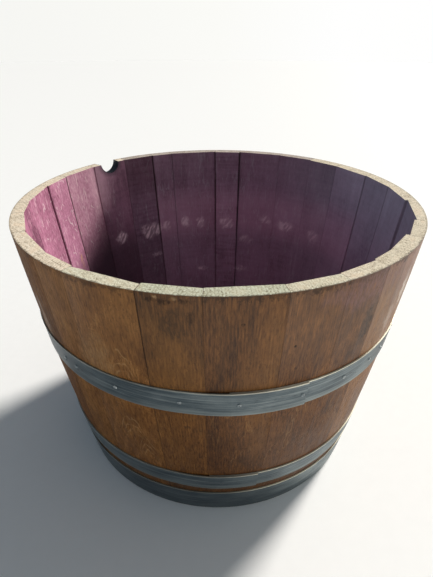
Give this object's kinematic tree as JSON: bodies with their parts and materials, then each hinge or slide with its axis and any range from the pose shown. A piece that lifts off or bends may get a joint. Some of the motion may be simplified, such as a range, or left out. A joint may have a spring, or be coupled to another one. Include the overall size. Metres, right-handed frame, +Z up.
{
  "type": "barrel planter",
  "caption": "Tub sawn from an oak wine barrel and used as a planter: coopered staves of mixed widths in riveted galvanised hoops, round a bevelled board head.",
  "frame": {"origin": "on the floor, on the barrel's axis, in the middle of the ring that the stave ends stand on", "axes": "+Z up along the barrel's axis; -Y is the front, the side that the picture is taken from; +X is to the right of that view"},
  "size_m": [0.6864, 0.6864, 0.475],
  "materials": {
    "stave_oak": "weathered, lightly oiled outside, wine-stained inside, sawn bare on the rim",
    "head_oak": "wine-stained oak boards",
    "dowel_wood": "plain turned dowel",
    "hoop_steel": "dull galvanised strap with lengthwise streaks",
    "rivet_steel": "dull galvanised, hammered flush",
    "screw_steel": "bright zinc"
  },
  "bodies": {
    "root": {"stave_01": "stave_oak", "stave_02": "stave_oak", "stave_03": "stave_oak", "stave_04": "stave_oak", "stave_05": "stave_oak", "stave_06": "stave_oak", "stave_07": "stave_oak", "stave_08": "stave_oak", "stave_09": "stave_oak", "stave_10": "stave_oak", "stave_11": "stave_oak", "stave_12": "stave_oak", "stave_13": "stave_oak", "stave_14": "stave_oak", "stave_15": "stave_oak", "stave_16": "stave_oak", "stave_17": "stave_oak", "stave_18": "stave_oak", "stave_19": "stave_oak", "stave_20": "stave_oak", "stave_21": "stave_oak", "stave_22": "stave_oak", "stave_23": "stave_oak", "stave_24": "stave_oak", "bung_stave": "stave_oak", "stave_26": "stave_oak", "stave_27": "stave_oak", "head_board_1": "head_oak", "head_board_2": "head_oak", "head_board_3": "head_oak", "head_board_4": "head_oak", "head_board_5": "head_oak", "head_board_6": "head_oak", "head_dowels": "dowel_wood", "bilge_hoop": "hoop_steel", "quarter_hoop": "hoop_steel", "head_hoop": "hoop_steel", "bilge_hoop_rivets": "rivet_steel", "quarter_hoop_rivets": "rivet_steel", "head_hoop_rivets": "rivet_steel", "bilge_hoop_screws": "screw_steel"}
  },
  "joints": []
}
